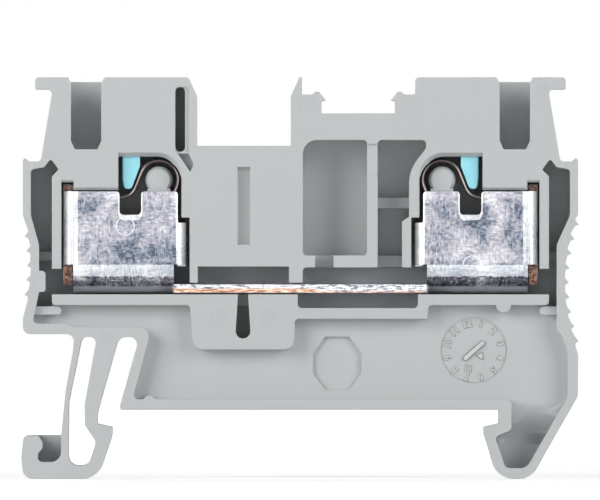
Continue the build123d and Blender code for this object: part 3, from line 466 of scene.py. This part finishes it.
def tin_material():
    """Mottled, finely scratched tin plate, darkened as a painted dark reflection, with painted
    reflections on each roll, painted highlights on the wing bends, and bare copper where the
    strip was cut.
    """
    material, tree, shader = new_material("tinned_copper", 1.0, 0.34)
    place = object_place(tree)
    x, y, z = axes_of(tree, place)
    reach = maths(tree, "ABSOLUTE", less(tree, x, CLAMP_MID))
    patches, lying, specks, lines = tin_grain(tree, place)
    right_side = between(tree, x, -2.0 * MM, 2.0 * MM, 0.012, 0.016)
    head_light = between(tree, z, *PLATE_HEAD_Z, 0.0, 0.05)
    blotch = added(tree, both(tree, patches, 0.40), both(tree, lines, 0.32),
                   both(tree, specks, 0.28), right_side, head_light)
    # Painted highlights on the bends of the wings, and the bright halo round the notch
    bright_bands = polished_share(tree, reach, z)
    tone = mixed(tree, bright_bands, ramp(tree, blotch, STAINS_AND_DARK_REFLECTION_TIN),
                 ramp(tree, blotch, HIGHLIGHT_TIN))

    # The roll at the foot of each cage: a painted bright reflection on its upper part, below it a
    # speckled band that is partly wear and partly a painted dark reflection, and plain grey at
    # its floor
    on_cage = above(tree, reach, SOLE_REACH, 0.02 * MM)
    ragged_z = added(tree, z, both(tree, patches, 0.25 * MM))
    roll = both(tree, below(tree, ragged_z, ROLL_TOP_Z, 0.06 * MM), on_cage)
    tone = mixed(tree, roll, tone, ramp(tree, blotch, ROLL_REFLECTION_TIN))
    scratched_z = added(tree, z, both(tree, lines, 0.3 * MM))
    speckled = both(tree, below(tree, scratched_z, ROLL_FOOT_Z, 0.03 * MM), on_cage)
    tone = mixed(tree, speckled, tone, ramp(tree, blotch, SPECKLED_WEAR_AND_DARK_REFLECTION_TIN))
    plain = both(tree, below(tree, z, PLAIN_TOP_Z, 0.05 * MM), on_cage)
    tone = mixed(tree, both(tree, plain, 0.85), tone, PLAIN_TIN)

    # Cut faces of the strip are copper, smeared over with tin along the top of the bar
    cut = both(tree, below(tree, normal_y(tree), -0.9775, 0.0075),
               above(tree, y, PLATE_Y + 0.2 * MM, 0.02 * MM))
    on_bar = below(tree, reach, SOLE_REACH, 0.02 * MM)
    smear_z = added(tree, between(tree, x, *SMEAR_X, *SMEAR_Z),
                    both(tree, less(tree, lying, 0.5), 0.5 * MM))
    bare = greatest(tree, below(tree, less(tree, z, smear_z), 0.0, 0.05 * MM),
                    less(tree, 1.0, on_bar))
    smear_grain = added(tree, both(tree, lying, 0.7), both(tree, specks, 0.3))
    tone = mixed(tree, both(tree, cut, on_bar), tone, ramp(tree, smear_grain, SMEARED_TIN))
    copper = mixed(tree, on_bar, ramp(tree, specks, END_COPPER), ramp(tree, lying, BAR_COPPER))
    tone = mixed(tree, both(tree, cut, bare), tone, copper)
    tree.links.new(tone, shader.inputs["Base Color"])
    tree.links.new(between(tree, lines, 0.3, 0.7, 0.28, 0.42), shader.inputs["Roughness"])
    tree.links.new(between(tree, bright_bands, 0.0, 1.0, 1.0, 0.4), shader.inputs["Metallic"])
    bumped(tree, shader, lines, 0.006 * MM, 0.4)
    return material


def scratch_material():
    """Bright fresh metal of the ring marks."""
    material, tree, shader = new_material("ring_marks", 1.0, 0.3)
    grain = noise(tree, object_place(tree), 3800, 3.0)
    tree.links.new(mixed(tree, grain, *SCRATCH_WHITES), shader.inputs["Base Color"])
    bumped(tree, shader, grain, 0.003 * MM, 0.4)
    return material


def spring_material():
    """Dark rolled spring steel, with fine lines along the strip, a slightly lighter cut edge, and
    a painted highlight on that edge between two heights.
    """
    material, tree, shader = new_material("spring_steel", 1.0, 0.32)
    place = object_place(tree)
    lines = noise(tree, place, 1500, 3.0, (0.4, 4.0, 0.4))
    z = axes_of(tree, place)[2]
    # Painted highlight on the cut edge between two heights
    highlit = both(tree, below(tree, z, SPRING_HIGHLIGHT_Z[1], 0.3 * MM),
               above(tree, z, SPRING_HIGHLIGHT_Z[0], 0.25 * MM))
    edge = mixed(tree, highlit, ramp(tree, lines, SPRING_EDGE), ramp(tree, lines, SPRING_EDGE_HIGHLIGHT))
    cut = below(tree, normal_y(tree), -0.9725, 0.0175)
    tree.links.new(mixed(tree, cut, ramp(tree, lines, SPRING_FACE), edge),
                   shader.inputs["Base Color"])
    bumped(tree, shader, lines, 0.004 * MM, 0.5)
    return material


def button_material():
    """Blue-green moulding, a little glossier than the housing."""
    material, tree, shader = new_material("button_plastic", 0.0, 0.24)
    place = object_place(tree)
    cloud = noise(tree, place, 700, 2.0)
    tree.links.new(mixed(tree, cloud, BUTTON_BLUE, BUTTON_BLUE_PALE),
                   shader.inputs["Base Color"])
    bumped(tree, shader, noise(tree, place, 6000, 2.0), 0.003 * MM, 0.5)
    return material


def paint(obj, material):
    obj.data.materials.clear()
    obj.data.materials.append(material)


def smooth(obj, angle):
    """Smooth shading across edges flatter than an angle in degrees."""
    for face in obj.data.polygons:
        face.use_smooth = True
    obj.data.set_sharp_from_angle(angle=math.radians(angle))


def onto_housing(piece, material):
    paint(piece, material)
    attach(piece, "housing")


def in_scene(name, data):
    """New object with the given data."""
    made = bpy.data.objects.new(name, data)
    bpy.context.scene.collection.objects.link(made)
    return made


def mesh_of(name, shape):
    """Mesh with the faces of a bmesh, which ends there."""
    mesh = bpy.data.meshes.new(name)
    shape.to_mesh(mesh)
    shape.free()
    return mesh


def applied_mesh(obj):
    """Mesh of an object with its modifiers applied."""
    return bpy.data.meshes.new_from_object(
        obj.evaluated_get(bpy.context.evaluated_depsgraph_get()))


def object_of(name, vertices, faces):
    """Object made from vertices and faces, with its normals outward."""
    shape = bmesh.new()
    made_vertices = [shape.verts.new(vertex) for vertex in vertices]
    for face in faces:
        shape.faces.new([made_vertices[i] for i in face])
    bmesh.ops.recalc_face_normals(shape, faces=shape.faces)
    return in_scene(name, mesh_of(name, shape))


def tube_faces(rings, count):
    """Faces between rings of count points each, numbered ring after ring."""
    return [(i * count + j, i * count + (j + 1) % count,
             (i + 1) * count + (j + 1) % count, (i + 1) * count + j)
            for i in range(rings - 1) for j in range(count)]


def closed_tube(rings, count):
    """Faces of a tube of rings with both ends closed."""
    last = (rings - 1) * count
    return tube_faces(rings, count) + [tuple(range(count)),
                                       tuple(last + j for j in reversed(range(count)))]


def prism(name, corners, low_y, high_y):
    """Closed prism over an (x, z) outline."""
    vertices = [(x, y, z) for y in (low_y, high_y) for x, z in corners]
    return object_of(name, vertices, closed_tube(2, len(corners)))


def box_corners(low, high):
    return [(low[0], low[1]), (high[0], low[1]), (high[0], high[1]), (low[0], high[1])]


def housing_cuts():
    """Prisms that the housing lacks besides its CAD form, as (corners, low y, high y)."""
    cuts = []
    for side in (-1, 1):
        middle = across(side, WIRE_REACH)
        cuts.append((box_corners((middle - FUNNEL_NOTCH_HALF, FUNNEL_NOTCH_Z),
                                 (middle + FUNNEL_NOTCH_HALF, TOP_Z + MM)),
                     FUNNEL_NOTCH_Y, BACK_Y + MM))
    cuts.append((box_corners(SEAM_LOW, SEAM_HIGH), FRONT_Y - MM, SEAM_FLOOR_Y))
    cuts.append(([(x * MM, z * MM) for x, z in TAIL_CORNERS], FRONT_Y - MM, TAIL_FLOOR_Y))
    return cuts


def less_prisms(mesh, outlines):
    """Mesh of a solid with prisms cut away, each given by its corners and its reach in y."""
    holder = in_scene("holder", mesh)
    cutters = []
    for corners, low_y, high_y in outlines:
        cutter = prism("cutter", corners, low_y, high_y)
        cut = holder.modifiers.new("cut", "BOOLEAN")
        cut.object, cut.operation, cut.solver = cutter, "DIFFERENCE", "EXACT"
        cutters.append(cutter)
    result = applied_mesh(holder)
    for used in cutters + [holder]:
        bpy.data.objects.remove(used)
    return result


def recess_floor(shape):
    return [face for face in shape.faces
            if all(abs(vert.co.y - RECESS_Y) < WELD_DISTANCE for vert in face.verts)]


def deepen_hook(shape):
    """Lets the floor of the recess slope down smoothly into the rail hook."""
    length = HOOK_SLOPE_TOP_Z - HOOK_SLOPE_FOOT_Z
    for i in range(HOOK_SLOPE_STEPS + 1):
        faces = recess_floor(shape)
        edges = {edge for face in faces for edge in face.edges}
        verts = {vert for face in faces for vert in face.verts}
        level = HOOK_SLOPE_TOP_Z - length * i / HOOK_SLOPE_STEPS
        bmesh.ops.bisect_plane(shape, geom=faces + list(edges) + list(verts),
                               plane_co=(0, 0, level), plane_no=(0, 0, 1))
    for vert in {vert for face in recess_floor(shape) for vert in face.verts}:
        if vert.co.x > HOOK_LEFT_X and vert.co.z < HOOK_SLOPE_TOP_Z - WELD_DISTANCE:
            share = min((HOOK_SLOPE_TOP_Z - vert.co.z) / length, 1.0)
            vert.co.y += HOOK_FALL * share * share * (3 - 2 * share)


def carve_housing(shape):
    """Cuts away what the housing lacks besides its CAD form."""
    welded = bpy.data.meshes.new("welded")
    shape.to_mesh(welded)
    shape.clear()
    shape.from_mesh(less_prisms(welded, housing_cuts()))
    deepen_hook(shape)


def is_rim(edge):
    """Whether an edge is sharp, convex and square to the width of the block."""
    run = edge.verts[1].co - edge.verts[0].co
    return edge.calc_face_angle_signed() > SHARP_ANGLE and abs(run.y) < RIM_TILT * run.length


def in_tail(edge):
    """Whether an edge belongs to the shallow tail of the left slot."""
    return all(TAIL_LOW[0] < vert.co.x < TAIL_HIGH[0] and TAIL_LOW[1] < vert.co.z < TAIL_HIGH[1]
               and vert.co.y < 0 for vert in edge.verts)


def rounded_copy(node_name, piece_name, body, material, width, carve=None):
    """Copy of a CAD node with its rims rounded, which stands for the node."""
    shape = bmesh.new()
    shape.from_mesh(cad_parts[node_name].data)
    bmesh.ops.remove_doubles(shape, verts=shape.verts, dist=WELD_DISTANCE)
    if carve:
        carve(shape)
    sharp = [edge for edge in shape.edges
             if edge.is_manifold and is_rim(edge) and not in_tail(edge)]
    bmesh.ops.bevel(shape, geom=sharp, offset=width, offset_type="OFFSET", segments=2,
                    profile=0.5, affect="EDGES", clamp_overlap=False, loop_slide=False)
    piece = in_scene(piece_name, mesh_of(piece_name, shape))
    smooth(piece, 32)
    for face in piece.data.polygons:
        face.use_smooth = abs(face.normal.y) < FLAT_NORMAL
    normals = piece.modifiers.new("normals", "WEIGHTED_NORMAL")
    normals.keep_sharp = True
    paint(piece, material)
    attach(piece, body)
    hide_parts(node_name)


def spring_path(side):
    """Centre line of one spring from the retaining leg to the tip, as (x, z) points."""
    points = [Vector((LEG_REACH, LEG_FOOT_Z)), Vector((LEG_REACH, LEG_STRAIGHT_Z)),
              Vector((LEG_HEAD_REACH, LEG_HEAD_Z))]
    loop = Vector((LOOP_REACH, LOOP_Z))
    for i in range(LOOP_STEPS + 1):
        angle = LOOP_START + (LOOP_END - LOOP_START) * i / LOOP_STEPS
        points.append(loop + LOOP_RADIUS * Vector((math.cos(angle), math.sin(angle))))
    meet = points[-1]
    knee = Vector((meet.x + (meet.y - KNEE_Z) * math.tan(LOOP_END), KNEE_Z))
    # The knee is a curve between the flank and the clamping leg
    flank = Vector((math.sin(LOOP_END), -math.cos(LOOP_END)))
    leg = Vector((math.cos(CLAMP_LEG_FALL), -math.sin(CLAMP_LEG_FALL)))
    run = BEND_RADIUS * math.tan(flank.angle(leg) / 2)
    first, last = knee - flank * run, knee + leg * run
    tip = knee + leg * ((CLAMP_LEG_REACH - knee.x) / math.cos(CLAMP_LEG_FALL))
    for i in range(1, FLANK_STEPS + 1):
        points.append(meet.lerp(first, i / FLANK_STEPS))
    for i in range(1, BEND_STEPS + 1):
        share = i / BEND_STEPS
        points.append(first * (1 - share) ** 2 + knee * 2 * share * (1 - share)
                      + last * share**2)
    for i in range(1, BEND_STEPS + 1):
        points.append(last.lerp(tip, i / BEND_STEPS))
    return [(across(side, point.x), point.y) for point in points]


def strip_mesh(name, path, thickness, low_y, high_y, edge):
    """Flat strip of a given thickness along an (x, z) path, with slightly rounded edges."""
    half, corner = thickness / 2, 0.3 * edge
    section = [(-half, low_y + edge), (-half + corner, low_y + corner), (-half + edge, low_y),
               (half - edge, low_y), (half - corner, low_y + corner), (half, low_y + edge),
               (half, high_y - edge), (half - edge, high_y),
               (-half + edge, high_y), (-half, high_y - edge)]
    vertices = []
    for i, (x, z) in enumerate(path):
        back, ahead = path[max(i - 1, 0)], path[min(i + 1, len(path) - 1)]
        along = Vector((ahead[0] - back[0], ahead[1] - back[1])).normalized()
        for offset, y in section:
            vertices.append((x - along.y * offset, y, z + along.x * offset))
    return object_of(name, vertices, closed_tube(len(path), len(section)))


def make_springs(material):
    """Springs as smooth strips, from the retaining leg round the loop to the clamping leg."""
    for side, word in SIDES:
        leaf = strip_mesh(f"{word}_leaf", spring_path(side), LEAF, LEAF_FRONT_Y, LEAF_BACK_Y,
                          LEAF_EDGE)
        smooth(leaf, 40)
        paint(leaf, material)
        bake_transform(leaf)
        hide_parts(f"{word}_spring")


def make_bosses(material):
    """Boss with rounded rim inside each spring, on a post that runs down behind the plate."""
    levels = [(BOSS_RADIUS, FLOOR_FACE_Y)]
    for i in range(BOSS_ROUND_STEPS + 1):
        angle = math.pi / 2 * i / BOSS_ROUND_STEPS
        levels.append((BOSS_RADIUS - BOSS_ROUND * (1 - math.cos(angle)),
                       BOSS_TOP_Y + BOSS_ROUND * (1 - math.sin(angle))))
    for side, word in SIDES:
        middle_x = across(side, LOOP_REACH)
        vertices = []
        for radius, y in levels:
            for i in range(BOSS_STEPS):
                angle = 2 * math.pi * i / BOSS_STEPS
                vertices.append((middle_x + radius * math.cos(angle), y,
                                 LOOP_Z + radius * math.sin(angle)))
        top = tuple(range(len(vertices) - BOSS_STEPS, len(vertices)))
        boss = object_of(f"{word}_boss", vertices, tube_faces(len(levels), BOSS_STEPS) + [top])
        smooth(boss, 40)
        onto_housing(boss, material)
        post = prism(f"{word}_post", box_corners((middle_x - POST_HALF, POST_FOOT_Z),
                                                 (middle_x + POST_HALF, POST_HEAD_Z)),
                     BOSS_TOP_Y + 0.02 * MM, FLOOR_FACE_Y)
        soft = post.modifiers.new("soft", "BEVEL")
        soft.width, soft.segments = POST_ROUND, 3
        onto_housing(post, material)


def brow(name, path, widths, material):
    """Chamfered rim along a wall: path is (x, z, inward x, inward z) along the wall."""
    vertices = []
    for (x, z, in_x, in_z), width in zip(path, widths):
        section = ((-BROW_LAP, BROW_FRONT_Y), (BROW_LAND, BROW_FRONT_Y),
                   (width, FRONT_Y + BROW_SLOPE * width), (width, BROW_BACK_Y),
                   (-BROW_LAP, BROW_BACK_Y))
        for inset, y in section:
            vertices.append((x + in_x * inset, y, z + in_z * inset))
    made = object_of(name, vertices, closed_tube(len(path), len(section)))
    smooth(made, 30)
    onto_housing(made, material)


def make_brows(material):
    """Rims over the spring chambers, which thin out down the round, the cages and the notches."""
    steps, full = 24, 14
    thinning = steps + 2 - full
    widths = [CHAMBER_BROW] * full + [CHAMBER_BROW * (1 - i / (thinning + 1)) + CHAMBER_BROW_END
                                      for i in range(1, thinning + 1)]
    arc_reach, arc_z = CHAMBER_IN_REACH + CHAMBER_ROUND, CHAMBER_TOP_Z - CHAMBER_ROUND
    for side, word in SIDES:
        path = [(across(side, CHAMBER_OUT_REACH), CHAMBER_TOP_Z, 0.0, -1.0)]
        for i in range(steps + 1):
            angle = math.pi / 2 * (1 + i / steps)
            path.append((across(side, arc_reach + CHAMBER_ROUND * math.cos(angle)),
                         arc_z + CHAMBER_ROUND * math.sin(angle),
                         -side * math.cos(angle), -math.sin(angle)))
        brow(f"{word}_chamber_rim", path, widths, material)
        for kind, start, end, z, width in (
                ("cage", CHAMBER_OUT_REACH, CAGE_NOTCH_REACH, CAGE_CEILING_Z, CAGE_BROW),
                ("wing", CAGE_NOTCH_REACH, WING_NOTCH_REACH, WING_NOTCH_TOP_Z, WING_BROW)):
            top = [(across(side, reach), z, 0.0, -1.0) for reach in (start, end)]
            brow(f"{word}_{kind}_rim", top, [width] * 2, material)


def make_plate_rings(material):
    """Thin raised ring marks that the tool left on the cages."""
    vertices, faces = [], []
    count = len(RING_SECTION)
    for x, z, radius, arc in PLATE_RINGS:
        first = len(vertices)
        for i in range(RING_STEPS + 1):
            angle = math.radians(arc * i / RING_STEPS)
            for spread, rise in RING_SECTION:
                away = radius + spread
                vertices.append(((x + away * math.cos(angle)) * MM, PLATE_Y - rise * MM,
                                 (z + away * math.sin(angle)) * MM))
        for i in range(RING_STEPS):
            for j in range(count - 1):
                a = first + i * count + j
                faces.append((a, a + 1, a + count + 1, a + count))
    onto_housing(object_of("plate_rings", vertices, faces), material)


def flat_words(text, height, middle, turn):
    """Mesh of raised characters on the recess floor, turned clockwise, in the part's frame."""
    curve = bpy.data.curves.new("words", "FONT")
    curve.body, curve.size = text, height
    curve.align_x, curve.align_y = "CENTER", "CENTER"
    curve.extrude = NUMBER_RISE
    curve.bevel_depth = NUMBER_EDGE
    curve.resolution_u = 3
    curve.space_character = 1.05
    holder = in_scene("words", curve)
    mesh = applied_mesh(holder)
    bpy.data.objects.remove(holder)
    upright = Matrix.Rotation(math.radians(90), 4, "X")
    turned = Matrix.Rotation(math.radians(turn), 4, "Y")
    place = Matrix.Translation((middle[0], RECESS_Y, middle[1]))
    mesh.transform(place @ turned @ upright)
    return mesh


def pointer_outline():
    """Long round-ended bar across the middle of the dial, as (x, z) points."""
    outline = []
    for start, end in ((-90, 1), (90, -1)):
        for i in range(POINTER_STEPS + 1):
            angle = POINTER_TURN + math.radians(start + 180 * i / POINTER_STEPS)
            outline.append((DIAL_MIDDLE[0] + end * POINTER_HALF * math.cos(POINTER_TURN)
                            + POINTER_ROUND * math.cos(angle),
                            DIAL_MIDDLE[1] + end * POINTER_HALF * math.sin(POINTER_TURN)
                            + POINTER_ROUND * math.sin(angle)))
    return outline


def make_date_marks(material):
    """Month numbers round the date mark, tops outward, the year, the arrow and the pointer."""
    shape = bmesh.new()
    for month in range(1, 13):
        turn = 30 * month - 15
        polar = math.radians(90 - turn)
        middle = (DIAL_MIDDLE[0] + NUMBER_RING * math.cos(polar),
                  DIAL_MIDDLE[1] + NUMBER_RING * math.sin(polar))
        shape.from_mesh(flat_words(str(month), NUMBER_HEIGHT, middle, turn))
    shape.from_mesh(flat_words("11", YEAR_HEIGHT, YEAR_MIDDLE, YEAR_TURN))
    onto_housing(in_scene("date_dial_numbers", mesh_of("date_dial_numbers", shape)), material)
    arrow = [(x * MM, z * MM) for x, z in ARROW_CORNERS]
    for name, corners, rise in (("date_dial_arrow", arrow, ARROW_RISE),
                                ("date_dial_pointer", pointer_outline(), POINTER_RISE)):
        raised = prism(name, corners, RECESS_Y - rise, RECESS_Y + MARK_SINK)
        soft = raised.modifiers.new("soft", "BEVEL")
        soft.width, soft.segments = MARK_BEVEL, 1
        onto_housing(raised, material)


def make_camera():
    camera = bpy.data.cameras.new("camera")
    view = in_scene("camera", camera)
    view.location = (PHOTO_MIDDLE[0], cad_low.y - CAMERA_DISTANCE, PHOTO_MIDDLE[1])
    view.rotation_euler = (math.radians(90), 0, 0)
    camera.sensor_width = SENSOR_WIDTH
    seen_width = PHOTO_SIZE[0] / PIXELS_PER_MM * MM
    camera.lens = SENSOR_WIDTH * CAMERA_DISTANCE / seen_width
    camera.clip_start, camera.clip_end = 0.01, 10
    bpy.context.scene.camera = view


def shown_rays(tree):
    """1 for rays that show the background: seen by the camera, in gloss or through glass."""
    path = node(tree, "ShaderNodeLightPath")
    return greatest(tree, path.outputs["Is Camera Ray"], path.outputs["Is Glossy Ray"],
                    path.outputs["Is Transmission Ray"])


def make_world():
    """White background that lights the object only a little."""
    world = bpy.data.worlds.new("world")
    bpy.context.scene.world = world
    world.use_nodes = True
    tree = world.node_tree
    background = tree.nodes["Background"]
    background.inputs["Color"].default_value = (1, 1, 1, 1)
    strength = between(tree, shown_rays(tree), 0, 1, AMBIENT, 1.0)
    tree.links.new(strength, background.inputs["Strength"])


def make_floor():
    """Pale floor that turns white away from the object and keeps its shadow."""
    bpy.ops.mesh.primitive_plane_add(size=FLOOR_WIDTH, location=(0, 0, STANDING_Z - FLOOR_GAP))
    floor = bpy.context.object
    floor.name = "floor"
    material, tree, shader = new_material("floor", 0.0, 0.9)
    place = object_place(tree)
    paper = noise(tree, place, 300, 2.0)
    tree.links.new(mixed(tree, paper, *FLOOR_WHITES), shader.inputs["Base Color"])
    shader.inputs["Emission Color"].default_value = (1, 1, 1, 1)
    away = node(tree, "ShaderNodeVectorMath", {0: place}, operation="LENGTH").outputs["Value"]
    glow = between(tree, away, SHADOW_RADIUS, GLOW_RADIUS, 0.4, 1.0)
    tree.links.new(both(tree, shown_rays(tree), glow), shader.inputs["Emission Strength"])
    bumped(tree, shader, paper, 0.02 * MM, 0.2)
    paint(floor, material)


def softbox(name, azimuth, height, width, radiance):
    """Square soft light on a ring round the object, turned towards its middle."""
    middle = Vector((0, 0, PHOTO_MIDDLE[1]))
    turn, lift = math.radians(azimuth), math.radians(height)
    way = Vector((math.sin(turn) * math.cos(lift), -math.cos(turn) * math.cos(lift),
                  math.sin(lift)))
    lamp = bpy.data.lights.new(name, "AREA")
    lamp.shape = "SQUARE"
    lamp.size = width
    lamp.energy = radiance * math.pi * width**2
    made = in_scene(name, lamp)
    made.location = middle + way * LIGHT_DISTANCE
    made.rotation_euler = way.to_track_quat("Z", "Y").to_euler()
    made.visible_camera = False


plastic = housing_material()
blue = button_material()
tin = tin_material()
rounded_copy("housing", "housing_moulding", "housing", plastic, EDGE_ROUND,
             carve_housing)
rounded_copy("current_bar", "folded_strip", "housing", tin, EDGE_ROUND)
for word in ("left", "right"):
    rounded_copy(f"{word}_button", f"{word}_button_moulding", f"{word}_button",
                 blue, BUTTON_ROUND)
make_springs(spring_material())
make_bosses(plastic)
make_brows(plastic)
make_plate_rings(scratch_material())
make_date_marks(mark_material())

make_world()
make_floor()
for light in LIGHTS:
    softbox(*light)
make_camera()
bpy.context.scene.view_settings.view_transform = "Standard"
